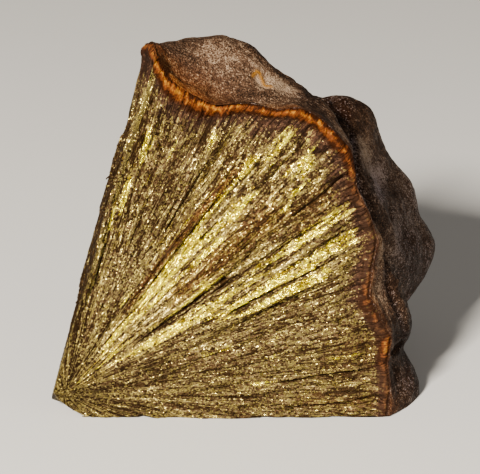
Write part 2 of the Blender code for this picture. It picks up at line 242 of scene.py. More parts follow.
# ---- the mesh ----
FIBRE_LENGTH = 45.0 * MM     # the usual length of a fibre
RAY_REACH = 90.0 * MM        # from the nucleus to well outside the crust
FIRST_LENGTH = 46.0 * MM     # the first guess of a fibre's length, before the solid is read
FACE_CLEARANCE = 4.0 * MM    # how far outside a broken face its rays start
EDGE_STEPS = 6               # steps of the net along a broken edge that follow the face beside them
RING_DEPTHS = (0.0, 0.12, 0.28, 0.5, 0.75, 1.05, 1.35, 1.6, 1.9, 2.3)   # of the rings at the rim, in mm
THINNING = ((2, 0.5), (4, 0.25), (8, 0.12))   # columns joined, and the share of the length where it starts
BOX_GAP = 0.01 * MM          # the least gap that the pieces keep to the solid's box
BASE_FADE = 0.6 * MM         # how fast the hollows of the base fade above it
FACE_LAYERS = (
    "streak_and_painted_highlight", "crack_and_painted_shade", "rim", "dull", "lane", "reach", "wild", "calm", "band", "rusty", "light",
)

# ---- relief of the broken faces: width (degrees) and length (mm) of what lies along the fibres ----
WANDERING = (5.0, 9.0)
BROAD_SPLINTERS = (2.6, 11.0)
NARROW_SPLINTERS = (1.0, 5.0)
SINGLE_FIBRES = (0.45, 2.2)
RIM_RAGS = (1.3, 1.0)
STREAK_RAGS = (0.7, 3.0)
SIDE_BUNDLES = (2.2, 16.0)
LEFT_BAND_WIDTH = 5.5        # of the dark band on the left face, in mm

# ---- the blades ----
BLADE_TOP = (0.75, 0.55, 1.0)    # how far a blade narrows towards its top
MOST_LEAN = 0.25                 # the most that a blade leans out of its face, in radians
MOST_YAW = 0.8                   # the most that a blade turns away from its fibre
# Blades with a painted glint: their colour is made lighter.
BRIGHT_BLADES = 0.07             # share of the blades that glint

# ---- patterns of the materials along the fibres: width (degrees) and length (mm) ----
HAIRS = (0.24, 1.5)
STROKES = (0.27, 1.5)
THREADS = (0.42, 3.0)
STRANDS = (1.15, 7.0)
BUNDLES = (3.2, 14.0)
FLAKES = (0.55, 0.75)
BLOCKS = (0.75, 0.9)
FINE_SPLITS = (1.3, 13.0)
BROAD_SPLITS = (3.4, 18.0)
RAGS = (0.7, 5.0)

# ---- patterns of the materials all over the piece: grains to a metre ----
FIBRE_GRAIN = 6500.0
FIBRE_SPECKS = 4600.0
RIM_PITS = 1500.0
RIM_BLOTCHES = 380.0
CRUST_GRAIN = 5000.0
CRUST_SPECKS = 5200.0
CRUST_LUMPS = 900.0
CRUST_CLOUDS = 170.0
FLOOR_CLOUDS = 30.0

FIBRES = "brassy_fibres"     # the material of the broken faces and of the blades
RED = (1.0, 0.0, 0.0)        # picks one number from a grain's random colour
GREEN = (0.0, 1.0, 0.0)
SHINE_LEAN = (-0.14, 0.09, 0.26)     # how far the facets of the shining bundles turn up and to the left

# ---- the stage ----
# Lights: place from the target, size, watts, colour.
LIGHTS = {
    "key": ((-0.24, -0.45, 0.33), 0.09, 15.0, (1.0, 0.94, 0.84)),
    "fill": ((0.45, -0.35, 0.30), 0.5, 1.1, (1.0, 0.95, 0.88)),
}
ROOM_COLOUR = (1.0, 0.96, 0.91, 1.0)
ROOM_STRENGTH = 0.15
FLOOR_SIZE = 3.0
SENSOR_WIDTH = 36.0          # in mm
NEAREST_SEEN = 0.01


def smooth(low, high, value):
    """Rise from 0 to 1 between low and high, or fall from 1 where high is below low."""
    share = np.clip((value - low) / (high - low), 0.0, 1.0)
    return share * share * (3.0 - 2.0 * share)


def fibre(spread, back):
    """Unit vectors of the fibres at spread and back angles in radians."""
    upward = np.array((0.0, math.sin(FRONT_LEAN), math.cos(FRONT_LEAN)))
    inward = np.array((0.0, math.cos(FRONT_LEAN), -math.sin(FRONT_LEAN)))
    spread = np.asarray(spread)[..., None]
    back = np.asarray(back)[..., None]
    flat = np.array((1.0, 0.0, 0.0)) * np.cos(spread) + upward * np.sin(spread)
    return flat * np.cos(back) + inward * np.sin(back)


def back_limit(spread):
    """Back angle where the fibres of a spread angle meet the back face."""
    run = BACK_RUN * np.cos(spread)
    rise = (BACK_RISE * math.cos(FRONT_LEAN) - math.sin(FRONT_LEAN)) * np.sin(spread)
    return np.arctan2(run + rise, math.cos(FRONT_LEAN) + BACK_RISE * math.sin(FRONT_LEAN))


def base_spread(back, length):
    """Spread angle of the fibre that ends on the base, at a back angle."""
    drop = -NUCLEUS.z / length + np.sin(back) * math.sin(FRONT_LEAN)
    return np.arcsin(drop / (np.cos(back) * math.cos(FRONT_LEAN)))


def read_noise(places, size=1.0):
    """Smooth noise, -1 to 1, at an array of places, with lumps of about a size."""
    flat = places.reshape(-1, 3) / size
    return np.array([noise.noise(Vector(place)) for place in flat]).reshape(places.shape[:-1])


def along_fibres(angle, radius, size, seed):
    """Places for a noise that is drawn out along the fibres. Its size is in degrees and mm."""
    wide, long = size
    return np.stack((angle / wide, radius / long, np.full(angle.shape, seed)), axis=-1)


def read_cells(places):
    """For each place its cell's random height from -1 to 1, and how far it lies across the cell."""
    heights = []
    offsets = []
    for place in places.reshape(-1, 3):
        nearest = noise.voronoi(Vector(place))[1][0]
        heights.append(noise.cell(nearest * 97.0) * 2.0 - 1.0)
        offsets.append(place[0] - nearest.x)
    shape = places.shape[:-1]
    return np.array(heights).reshape(shape), np.array(offsets).reshape(shape)


def blur(table, spans):
    """Average a table over a few neighbours along each of its two axes."""
    for axis, span in enumerate(spans):
        if span == 0:
            continue
        steps = np.arange(-span, span + 1)
        weights = np.exp(-2.0 * (steps / span) ** 2)
        weights /= weights.sum()
        padding = [(0, 0), (0, 0)]
        padding[axis] = (span, span)
        padded = np.pad(table, padding, mode="edge")
        count = table.shape[axis]
        table = sum(
            weight * np.take(padded, np.arange(count) + step, axis=axis)
            for step, weight in enumerate(weights)
        )
    return table


class NoduleShape(bpy.types.PropertyGroup):
    """Sizes of the fine relief."""

    columns: IntProperty(
        name="Columns", description="Steps of the net along the rim, a multiple of 8", default=400)
    rows: IntProperty(
        name="Rows", description="Steps of the net from front to back, a multiple of 8", default=72)
    ring_gap: FloatProperty(
        name="Ring Gap", description="Length of one step of the net along the fibres",
        default=0.00052, unit="LENGTH")
    rim_width: FloatProperty(
        name="Rim Width", description="Width of the rust rim at the back and the left",
        default=0.0013, unit="LENGTH")
    rim_bevel: FloatProperty(
        name="Rim Bevel", description="How far the worn edge of the rim falls back",
        default=0.00045, unit="LENGTH")
    splinter: FloatProperty(
        name="Splinter Relief", description="Height of the broad splinters",
        default=0.00028, unit="LENGTH")
    fine_fibre: FloatProperty(
        name="Fibre Relief", description="Height of the single fibres",
        default=0.00007, unit="LENGTH")
    knob: FloatProperty(
        name="Knob Relief", description="Height of the fine knobs of the crust",
        default=0.00010, unit="LENGTH")


class BladeShape(bpy.types.PropertyGroup):
    """Sizes and numbers of the small crystal blades on the broken faces."""

    length: FloatProperty(name="Length", description="Length of a blade", default=0.00042, unit="LENGTH")
    width: FloatProperty(name="Width", description="Width of a blade", default=0.000125, unit="LENGTH")
    height: FloatProperty(name="Height", description="Height of a blade", default=0.000065, unit="LENGTH")
    front: IntProperty(name="Front", description="How often the blades of the front are doubled", default=14)
    back: IntProperty(name="Back", description="How often the blades of the back are doubled", default=13)
    left: IntProperty(name="Left", description="How often the blades of the left are doubled", default=12)
    seed: IntProperty(name="Seed", description="Start of the random places", default=5)


class NoduleColours(bpy.types.PropertyGroup):
    """Colours of the nodule."""

    brass: FloatVectorProperty(
        name="Brass", description="Most of the broken faces",
        subtype="COLOR", size=3, default=(0.123, 0.083, 0.037))
    gold: FloatVectorProperty(
        name="Gold", description="Bright grains",
        subtype="COLOR", size=3, default=(0.46, 0.355, 0.088))
    # Shine and lemon are painted highlights: the colours that the shining bundles are given.
    shine: FloatVectorProperty(
        name="Shine", description="Fibres that shine",
        subtype="COLOR", size=3, default=(1.0, 0.80, 0.010))
    lemon: FloatVectorProperty(
        name="Lemon", description="The brightest fibres",
        subtype="COLOR", size=3, default=(1.0, 0.89, 0.008))
    straw: FloatVectorProperty(
        name="Straw", description="Bright grains of the dull fibres",
        subtype="COLOR", size=3, default=(0.88, 0.69, 0.19))
    umber: FloatVectorProperty(
        name="Umber", description="Cracks and dull fibres",
        subtype="COLOR", size=3, default=(0.050, 0.025, 0.008))
    band: FloatVectorProperty(
        name="Dark Band", description="The band inside the rust rim",
        subtype="COLOR", size=3, default=(0.066, 0.030, 0.016))
    rust: FloatVectorProperty(
        name="Rust", description="The rust rim",
        subtype="COLOR", size=3, default=(0.118, 0.030, 0.005))
    ochre: FloatVectorProperty(
        name="Ochre", description="Bright grains of the rust rim",
        subtype="COLOR", size=3, default=(0.25, 0.100, 0.005))
    clay: FloatVectorProperty(
        name="Clay", description="The paler, duller parts of the rust rim",
        subtype="COLOR", size=3, default=(0.19, 0.085, 0.036))
    crust: FloatVectorProperty(
        name="Crust", description="Most of the crust",
        subtype="COLOR", size=3, default=(0.040, 0.020, 0.0105))
    bloom: FloatVectorProperty(
        name="Bloom", description="Pale specks of the crust",
        subtype="COLOR", size=3, default=(0.28, 0.19, 0.12))
    # Slate lightens the specks and pale patches where shade is painted; on the lobes these include a painted
    # sheen.
    slate: FloatVectorProperty(
        name="Slate", description="Greyish specks of the dark crust",
        subtype="COLOR", size=3, default=(0.19, 0.145, 0.145))


class StageSettings(bpy.types.PropertyGroup):
    """The floor and the camera."""

    floor_colour: FloatVectorProperty(
        name="Floor", description="Colour of the floor",
        subtype="COLOR", size=3, default=(0.58, 0.565, 0.54))
    distance: FloatProperty(
        name="Distance", description="From the camera to its target",
        default=0.300, unit="LENGTH")
    view_width: FloatProperty(
        name="View Width", description="Width of the view at the target",
        default=0.0624, unit="LENGTH")
    elevation: FloatProperty(
        name="Elevation", description="Height of the camera above the horizon",
        default=math.radians(22.0), subtype="ANGLE")
    target: FloatVectorProperty(
        name="Target", description="The camera's target, from the lowest corner of the box",
        subtype="XYZ", size=3, default=(0.0246, 0.01022, 0.0213))


def solid_tree():
    """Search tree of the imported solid."""
    bm = bmesh.new()
    bm.from_mesh(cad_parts[NODE].data)
    tree = BVHTree.FromBMesh(bm)
    bm.free()
    return tree


def cast(tree, starts, heading):
    """Distances from an array of starts along one heading, or an array of them, to the solid."""
    headings = np.broadcast_to(heading, starts.shape)
    found = []
    for start, direction in zip(starts.reshape(-1, 3), headings.reshape(-1, 3)):
        hit = tree.ray_cast(Vector(start), Vector(direction))
        found.append(math.nan if hit[3] is None else hit[3])
    return np.array(found).reshape(starts.shape[:-1])


def fill_gaps(table):
    """Give each missing number of a table its nearest known neighbour's, column by column."""
    for row in table:
        known = np.flatnonzero(~np.isnan(row))
        if len(known):
            row[:] = np.interp(np.arange(len(row)), known, row[known])
    return np.nan_to_num(table)


def distance_to_line(spread, back, line):
    """Distance from places on the crust to a line of points, in degrees."""
    nearest = np.full(spread.shape, 1e9)
    for (first_spread, first_back), (last_spread, last_back) in zip(line, line[1:]):
        run_spread, run_back = last_spread - first_spread, last_back - first_back
        share = ((spread - first_spread) * run_spread + (back - first_back) * run_back) / (
            run_spread**2 + run_back**2)
        share = np.clip(share, 0.0, 1.0)
        gap = np.hypot(spread - first_spread - run_spread * share, back - first_back - run_back * share)
        nearest = np.minimum(nearest, gap)
    return nearest


def fibre_angles(across, behind, length):
    """Spread and back angles of the net's crust points, in radians."""
    high = np.radians(LEFT_SPREAD[0] + (LEFT_SPREAD[1] - LEFT_SPREAD[0]) * behind)
    spread = np.zeros(across.shape)
    back = np.zeros(across.shape)
    for _ in range(4):
        low = base_spread(back, length)
        spread = low + (high - low) * across
        back = behind * back_limit(spread)
    return spread, back


def crust_relief(points, spread, back, across, shape):
    """Height of the crust's fine relief over the solid."""
    spread, back = np.degrees(spread), np.degrees(back)
    knobs = read_noise(points, 1.9 * MM) + 0.7 * read_noise(points, 0.9 * MM)
    grains = read_noise(points, 0.45 * MM)
    height = shape.knob * (knobs + 0.45 * grains)
    crease = distance_to_line(spread, back, CREASE)
    height -= 0.85 * MM * np.exp(-((crease / 0.55) ** 2))
    for line, deep, wide in FOLDS:
        fold = distance_to_line(spread, back, line)
        height -= deep * MM * np.exp(-((fold / wide) ** 2))
        height += 0.5 * deep * MM * np.exp(-((fold / wide - 2.2) ** 2))
    on_ridge = smooth(30.0, 24.0, spread) * smooth(8.0, 12.0, spread)
    on_ridge = on_ridge * smooth(0.6, 1.4, back) * smooth(5.6, 4.4, back)
    ribs = np.sin(back * 4.2 + 1.5 * read_noise(points, 3.0 * MM))
    height += 0.13 * MM * on_ridge * ribs
    height += 0.16 * MM * np.exp(-((distance_to_line(spread, back, SCAR_RING) / 0.2) ** 2))
    height -= 0.12 * MM * np.exp(-((distance_to_line(spread, back, SCAR_LENS) / 0.4) ** 2))
    worn = smooth(0.0, 1.5, back) * np.minimum(1.0, across * 12.0)
    return height * worn


def crust_net(tree, shape):
    """Points of the crust with their angles, rows from front to back and columns from base to left."""
    across, behind = np.meshgrid(np.linspace(0, 1, shape.columns + 1), np.linspace(0, 1, shape.rows + 1))
    nucleus = np.array(NUCLEUS)
    margin = math.radians(EDGE_MARGIN)
    length = np.full(across.shape, FIRST_LENGTH)
    for _ in range(3):
        spread, back = fibre_angles(across, behind, length)
        inner_spread = np.clip(spread, spread[:, :1] + margin / 2, spread[:, -1:] - margin / 2)
        limit = back_limit(inner_spread)
        inner_back = np.clip(back, margin, limit - margin)
        heading = fibre(inner_spread, inner_back)
        length = RAY_REACH - fill_gaps(cast(tree, nucleus + heading * RAY_REACH, -heading))
        for edge, inner in ((slice(None, 6), 7), (slice(-6, None), -8)):
            length[edge] = np.maximum(length[edge], length[inner] - 1.4 * MM)
        length -= RIM_SWELL * np.maximum(1.0 - (limit - back) / margin, 0.0) ** 2
        length = blur(length, (2, 4))
        rim = blur(np.interp(np.degrees(spread[:1]), *np.array(RIM).T) * MM, (0, 3))
        behind_rim = np.clip(back / margin, 0.0, 1.0)
        length = rim + (length - rim) * (0.5 * behind_rim + 0.5 * smooth(0.0, 1.0, behind_rim))
    spread, back = fibre_angles(across, behind, length)
    points = nucleus + fibre(spread, back) * length[..., None]
    relief = crust_relief(points, spread, back, across, shape)
    spread_degrees, back_degrees = np.degrees(spread), np.degrees(back)
    corner = np.hypot(back_degrees / 3.0, (LEFT_SPREAD[0] - spread_degrees) / 2.0)
    length = length + relief * smooth(0.3, 1.5, corner)
    length -= 0.8 * MM * np.exp(-(corner**2) * 2.0)
    saddle = ((spread_degrees - 71.0) / 2.0) ** 2 + ((back_degrees - 1.7) / 1.2) ** 2
    length += 0.45 * MM * np.exp(-saddle)
    points = nucleus + fibre(spread, back) * length[..., None]
    points[:, 0, 2] = LOW.z
    return points, spread_degrees, back_degrees


def broken_end(across, behind):
    """Points of the small broken end, from the nucleus, for net places."""
    across = np.asarray(across)[..., None]
    behind = np.asarray(behind)[..., None]
    low = np.array(END_FRONT_LOW) + (np.array(END_BACK_LOW) - np.array(END_FRONT_LOW)) * behind
    high = np.array(END_FRONT_TOP) + (np.array(END_BACK_TOP) - np.array(END_FRONT_TOP)) * behind
    swell = np.array(END_SWELL) * (4.0 * across * (1.0 - across))
    return np.array(NUCLEUS) + low + (high - low) * across + swell


def ring_shares(shape):
    """Shares of the fibre length where the rings lie, close together at the rim."""
    depths = [depth * MM for depth in RING_DEPTHS]
    while depths[-1] < FIBRE_LENGTH - shape.ring_gap:
        depths.append(depths[-1] + shape.ring_gap)
    return 1.0 - np.array(depths + [FIBRE_LENGTH]) / FIBRE_LENGTH


def bundle_sum(table, spread, radius, fade, power=2):
    """Sum of long bands along the fibres. A higher power gives them sharper sides."""
    total = np.zeros(spread.shape)
    for inner, outer, width, begins, ends, strength in table:
        middle = inner + (outer - inner) * np.clip((radius - begins) / (ends - begins), 0.0, 1.0)
        inside = smooth(begins - fade / 2, begins + fade / 2, radius)
        inside = inside * smooth(ends + fade / 2, ends - fade / 2, radius)
        total += strength * inside * np.exp(-(np.abs((spread - middle) / width) ** power))
    return total


def fibre_relief(spread, radius, seed, shape):
    """Height of the splinters and fibres of a broken face. Spread is in degrees, radius in mm."""
    angle = spread + 0.4 * read_noise(along_fibres(spread, radius, WANDERING, seed))
    broad, broad_side = read_cells(along_fibres(angle, radius, BROAD_SPLINTERS, seed))
    narrow, narrow_side = read_cells(along_fibres(angle, radius, NARROW_SPLINTERS, seed + 9.0))
    fine = read_noise(along_fibres(angle, radius, SINGLE_FIBRES, seed + 21.0))
    grown = smooth(0.0, 16.0, radius)
    height = shape.splinter * (broad + 0.9 * broad_side + 0.5 * narrow + 0.6 * narrow_side)
    return grown * (height + shape.fine_fibre * fine), angle


def face_net(tree, rim, ends, outward, shares, across):
    """Points of a broken face ring by ring, how far the solid stands out of them, and their angles."""
    fibres = rim - ends
    points = ends + fibres * shares[:, None, None]
    probe = ends + fibres * np.minimum(shares, 0.975)[:, None, None]
    drop = FACE_CLEARANCE - fill_gaps(cast(tree, probe + outward * FACE_CLEARANCE, -outward))
    for edge, inner in ((slice(None, EDGE_STEPS), EDGE_STEPS), (slice(-EDGE_STEPS, None), -EDGE_STEPS - 1)):
        drop[:, edge] = np.maximum(drop[:, edge], drop[:, [inner]])
    drop = blur(drop, (1, 3))
    offset = points - np.array(NUCLEUS)
    radius = np.linalg.norm(offset, axis=-1) / MM
    spread = across + np.zeros(radius.shape)
    if outward[1] < -0.5:
        rise = offset[..., 1] * math.sin(FRONT_LEAN) + offset[..., 2] * math.cos(FRONT_LEAN)
        spread = np.degrees(np.arctan2(rise, offset[..., 0]))
    depth = (1.0 - shares)[:, None] * np.linalg.norm(fibres, axis=-1)
    return points, drop, spread, radius, depth


def base_gap(x, y):
    """How far the broken base stands off the floor. It touches in several places."""
    places = np.stack((x / 7.0, y / 5.0, np.full(np.shape(x), 0.7 * MM)), axis=-1)
    return 0.32 * MM * smooth(-0.15, 0.45, read_noise(places, MM))


def rim_shape(depth, width, ragged, shape):
    """Fall of the worn rim and step at its inner side. Positive is outwards."""
    edge = width * (1.0 + 0.35 * ragged)
    fall = shape.rim_bevel * (1.0 - smooth(0.0, 0.8 * MM, depth)) ** 2
    step = smooth(edge, edge + 0.3 * MM, depth) * (1.0 - smooth(edge + 1.5 * MM, edge + 4.0 * MM, depth))
    return -fall - 0.22 * MM * step


def lay_net(bm, shape, count):
    """Grid over the crust, then rings of faces extruded from its border. Returns the index layers."""
    column = bm.verts.layers.int.new("column")
    row = bm.verts.layers.int.new("row")
    ring = bm.verts.layers.int.new("ring")
    bmesh.ops.create_grid(bm, x_segments=shape.columns, y_segments=shape.rows, size=0.5)
    for vert in bm.verts:
        vert[column] = round((vert.co.x + 0.5) * shape.columns)
        vert[row] = round((vert.co.y + 0.5) * shape.rows)
    border = [edge for edge in bm.edges if edge.is_boundary]
    for number in range(1, count):
        grown = bmesh.ops.extrude_edge_only(bm, edges=border)["geom"]
        border = [item for item in grown if isinstance(item, bmesh.types.BMEdge) and item.is_boundary]
        for item in grown:
            if isinstance(item, bmesh.types.BMVert):
                item[ring] = number
            if isinstance(item, bmesh.types.BMFace):
                item.material_index = 1
    bmesh.ops.contextual_create(bm, geom=border, mat_nr=1)
    return column, row, ring


def thin_net(bm, shape, layers, starts):
    """Join neighbouring columns where the fibres crowd together towards the nucleus."""
    column, row, ring = layers
    for step, start in starts:
        places = {(vert[column], vert[row], vert[ring]): vert for vert in bm.verts}
        joined = {}
        for (place_column, place_row, place_ring), vert in places.items():
            if place_ring < start:
                continue
            kept = place_column - place_column % step, place_row - place_row % step
            if place_column == shape.columns:
                kept = place_column, kept[1]
            if place_row == shape.rows:
                kept = kept[0], place_row
            if kept != (place_column, place_row):
                joined[vert] = places[kept + (place_ring,)]
        bmesh.ops.weld_verts(bm, targetmap=joined)


class Tree:
    """A material's node tree, with short calls for the nodes it is made of."""

    def __init__(self, name):
        self.material = bpy.data.materials.new(name)
        self.material.use_nodes = True
        self.nodes = self.material.node_tree.nodes
        self.links = self.material.node_tree.links
        self.shader = self.nodes["Principled BSDF"]
        self.read = {}

    def put(self, socket, value):
        """Join a socket to another, or set its value."""
        if isinstance(value, bpy.types.NodeSocket):
            self.links.new(value, socket)
        else:
            socket.default_value = value

    def look(self, name, value):
        """Give the shader one of its inputs."""
        self.put(self.shader.inputs[name], value)

    def maths(self, operation, *values):
        """Number worked out from one or two others."""
        node = self.nodes.new("ShaderNodeMath")
        node.operation = operation
        for socket, value in zip(node.inputs, values):
            self.put(socket, value)
        return node.outputs[0]

    def plus(self, first, second):
        """Sum of two numbers."""
        return self.maths("ADD", first, second)

    def minus(self, first, second):
        """One number less another."""
        return self.maths("SUBTRACT", first, second)

    def times(self, first, second):
        """Product of two numbers."""
        return self.maths("MULTIPLY", first, second)

    def vector(self, operation, *values, scale=None):
        """Vector or dot product worked out from one or two vectors."""
        node = self.nodes.new("ShaderNodeVectorMath")
        node.operation = operation
        for socket, value in zip(node.inputs, values):
            self.put(socket, value)
        if scale is not None:
            self.put(node.inputs["Scale"], scale)
        return node.outputs["Value" if operation == "DOT_PRODUCT" else "Vector"]

    def attribute(self, name):
        """Number kept in the mesh under a name."""
        if name not in self.read:
            node = self.nodes.new("ShaderNodeAttribute")
            node.attribute_name = name
            self.read[name] = node.outputs["Fac"]
        return self.read[name]

    def total(self, *terms):
        """Sum of sockets, each with its weight."""
        result = None
        for weight, socket in terms:
            part = self.times(socket, weight)
            result = part if result is None else self.plus(result, part)
        return result

    def ladder(self, value, steps):
        """Colours at rising values."""
        node = self.nodes.new("ShaderNodeValToRGB")
        stops = node.color_ramp.elements
        while len(stops) < len(steps):
            stops.new(1.0)
        for stop, (position, colour) in zip(stops, steps):
            stop.position = position
            stop.color = (*colour, 1.0)
        self.put(node.inputs["Fac"], value)
        return node.outputs["Color"]

    def noise(self, place, scale, detail=2.0, roughness=0.5):
        """Cloudy noise, from 0 to 1."""
        node = self.nodes.new("ShaderNodeTexNoise")
        self.put(node.inputs["Vector"], place)
        self.put(node.inputs["Scale"], scale)
        self.put(node.inputs["Detail"], detail)
        self.put(node.inputs["Roughness"], roughness)
        return node.outputs["Fac"]

    def cells(self, place, scale, output="Color"):
        """Grains, each with its own random colour."""
        node = self.nodes.new("ShaderNodeTexVoronoi")
        self.put(node.inputs["Vector"], place)
        self.put(node.inputs["Scale"], scale)
        return node.outputs[output]

    def ramp(self, value, low, high, out_low=0.0, out_high=1.0):
        """Smooth rise or fall between two values."""
        node = self.nodes.new("ShaderNodeMapRange")
        node.interpolation_type = "SMOOTHSTEP"
        self.put(node.inputs["Value"], value)
        ends = {"From Min": low, "From Max": high, "To Min": out_low, "To Max": out_high}
        for name, end in ends.items():
            self.put(node.inputs[name], end)
        return node.outputs["Result"]

    def mix(self, share, first, second):
        """Colour between two, by a share."""
        node = self.nodes.new("ShaderNodeMix")
        node.data_type = "RGBA"
        self.put(node.inputs["Factor"], share)
        for socket, value in ((node.inputs[6], first), (node.inputs[7], second)):
            self.put(socket, value if isinstance(value, bpy.types.NodeSocket) else (*value, 1.0))
        return node.outputs[2]

    def bump(self, height, distance):
        """Normal that a height gives."""
        node = self.nodes.new("ShaderNodeBump")
        self.put(node.inputs["Height"], height)
        self.put(node.inputs["Distance"], distance)
        return node.outputs["Normal"]

    def place(self):
        """Place on the object, in metres."""
        node = self.nodes.new("ShaderNodeTexCoord")
        return node.outputs["Object"]

    def lanes(self, size):
        """Places drawn out along the fibres: grains of a width in degrees and a length in mm."""
        wide, long = size
        node = self.nodes.new("ShaderNodeCombineXYZ")
        self.put(node.inputs["X"], self.maths("DIVIDE", self.attribute("lane"), wide))
        self.put(node.inputs["Y"], self.maths("DIVIDE", self.attribute("reach"), long))
        self.put(node.inputs["Z"], wide * 17.0)
        return node.outputs["Vector"]

    def drawn_out(self, size, detail=1.0, roughness=0.5):
        """Noise drawn out along the fibres."""
        return self.noise(self.lanes(size), 1.0, detail, roughness)

    def line(self, value, width):
        """1 along the thin lines where a noise crosses its middle."""
        return self.ramp(self.maths("ABSOLUTE", self.minus(value, 0.5)), width, width * 0.25)

    def blend(self, share, first, second):
        """Number between two, by a share."""
        node = self.nodes.new("ShaderNodeMix")
        self.put(node.inputs[0], share)
        self.put(node.inputs[2], first)
        self.put(node.inputs[3], second)
        return node.outputs[0]


def shade(colour, share):
    """A colour made darker."""
    return tuple(channel * share for channel in colour)


def fibre_patterns(t):
    """Grains and lines that the colour and the shine of the fibres share."""
    place = t.place()
    threads = t.drawn_out(THREADS)
    strands = t.drawn_out(STRANDS, 2.0, 0.6)
    grain = t.total((0.55, t.noise(place, FIBRE_GRAIN, 1.0, 0.6)), (0.55, t.drawn_out(HAIRS)), (-0.05, 1.0))
    strength = t.ramp(t.attribute("dull"), 0.0, 1.0, 0.72, 0.40)
    # Where the fibres shine: their facets lean towards the light and their colour gets a painted highlight.
    shining = t.total(
        (1.0, t.attribute("streak_and_painted_highlight")), (0.6, strands), (0.5, threads), (0.15, t.attribute("wild")))
    splits = t.line(t.drawn_out(FINE_SPLITS), 0.022), t.line(t.drawn_out(BROAD_SPLITS), 0.016)
    return {
        "threads": threads,
        "strands": strands,
        "grain": t.times(t.minus(grain, 0.5), strength),
        "shining": t.ramp(shining, 0.78, 1.15),
        "split": t.maths("MAXIMUM", *splits),
        "flakes": t.cells(t.lanes(FLAKES), 1.0),
        "specks": t.cells(place, FIBRE_SPECKS),
        "blotches": t.noise(place, RIM_BLOTCHES, 3.0, 0.6),
        "pits": t.noise(place, RIM_PITS, 2.0, 0.6),
    }


def fibre_lines(t, seen):
    """Lighter and darker lines along the fibres, finer far from the nucleus."""
    bundles = t.drawn_out(BUNDLES)
    reach = t.attribute("reach")
    far = t.total((0.46, seen["threads"]), (0.39, seen["strands"]), (0.15, bundles))
    near = t.total((0.10, seen["threads"]), (0.45, seen["strands"]), (0.45, bundles))
    lines = t.minus(t.blend(t.ramp(reach, 6.0, 20.0), near, far), 0.5)
    lines = t.times(lines, t.ramp(t.attribute("calm"), 0.0, 1.0, 1.4, 0.45))
    lines = t.times(lines, t.ramp(reach, 8.0, 22.0, 2.3, 1.2))
    return t.times(lines, t.ramp(t.attribute("streak_and_painted_highlight"), 0.0, 1.0, 1.0, 1.7))


def fibre_tone(t, seen):
    """How light each place of the fibres is, from 0 to about 1."""
    wild = t.attribute("wild")
    flake = t.vector("DOT_PRODUCT", seen["flakes"], RED)
    specks = t.vector("DOT_PRODUCT", seen["specks"], RED)
    blocks = t.lanes(BLOCKS)
    block = t.vector("DOT_PRODUCT", t.cells(blocks, 1.0), GREEN)
    block_gap = t.ramp(t.cells(blocks, 1.0, "Distance"), 0.45, 0.75)
    blocky = t.times(wild, t.total((0.42, block), (-0.16, block_gap)))
    # The shining bundles are made lighter, a painted highlight, and the cracks darker, painted shade.
    tone = t.total(
        (1.0, fibre_lines(t, seen)), (1.0, seen["grain"]), (0.08, flake), (0.28, specks),
        (0.30, seen["shining"]), (-0.62, t.attribute("crack_and_painted_shade")), (-0.08, t.attribute("dull")),
        (-0.24, seen["split"]), (0.06, t.attribute("calm")), (1.0, t.attribute("light")))
    tone = t.plus(tone, t.plus(blocky, 0.230))
    tone = t.minus(tone, t.times(wild, 0.13))
    # The blades' glint tone, a random tone and on a few blades a painted glint, fades by the rim.
    by_rim = t.ramp(t.attribute("band"), 1.3, 0.8)
    tone = t.plus(tone, t.times(t.attribute("glint"), t.minus(1.0, by_rim)))
    # Painted glints: the brightest flakes and specks are made lighter in colour.
    bright = t.times(flake, t.ramp(seen["shining"], 0.0, 1.0, 0.95, 1.12))
    tone = t.plus(tone, t.times(t.ramp(bright, 0.86, 0.97), 0.14))
    tone = t.plus(tone, t.times(t.ramp(specks, 0.84, 0.94), 0.20))
    darkest = t.ramp(t.attribute("streak_and_painted_highlight"), 0.0, 1.0, 0.14, 0.26)
    return t.minus(tone, t.times(t.ramp(specks, 0.20, 0.08), darkest))


def brass_colour(t, colours, seen, tone):
    """Colour of the bare fibres: yellow where they shine, a painted highlight, straw elsewhere, brown in
    dull bundles.
    """
    plain = (
        (0.15, shade(colours.umber, 0.35)), (0.34, colours.umber), (0.465, colours.brass),
        (0.58, shade(colours.gold, 0.6)), (0.68, colours.gold))
    calm = t.ladder(tone, plain + ((0.86, colours.straw),))
    # Shine and lemon paint the highlight into the colour of the shining bundles.
    shining = t.ladder(tone, plain + ((0.80, colours.shine), (1.0, colours.lemon)))
    brown = t.ladder(tone, (
        (0.18, shade(colours.umber, 0.6)), (0.40, shade(colours.rust, 0.6)),
        (0.58, shade(colours.ochre, 0.7)), (0.74, colours.gold)))
    colour = t.mix(t.ramp(seen["shining"], 0.0, 0.35), calm, shining)
    return t.mix(t.times(t.attribute("dull"), 0.7), colour, brown)


def band_share(t, tone):
    """How much the dark band covers the fibres. Its inner side is ragged."""
    ragged = t.minus(t.drawn_out(RAGS, 2.0), 0.5)
    band = t.plus(t.attribute("band"), t.times(ragged, 1.5))
    return t.times(t.ramp(band, 1.15, 0.65), t.ramp(tone, 1.0, 0.60, 0.85, 1.0))


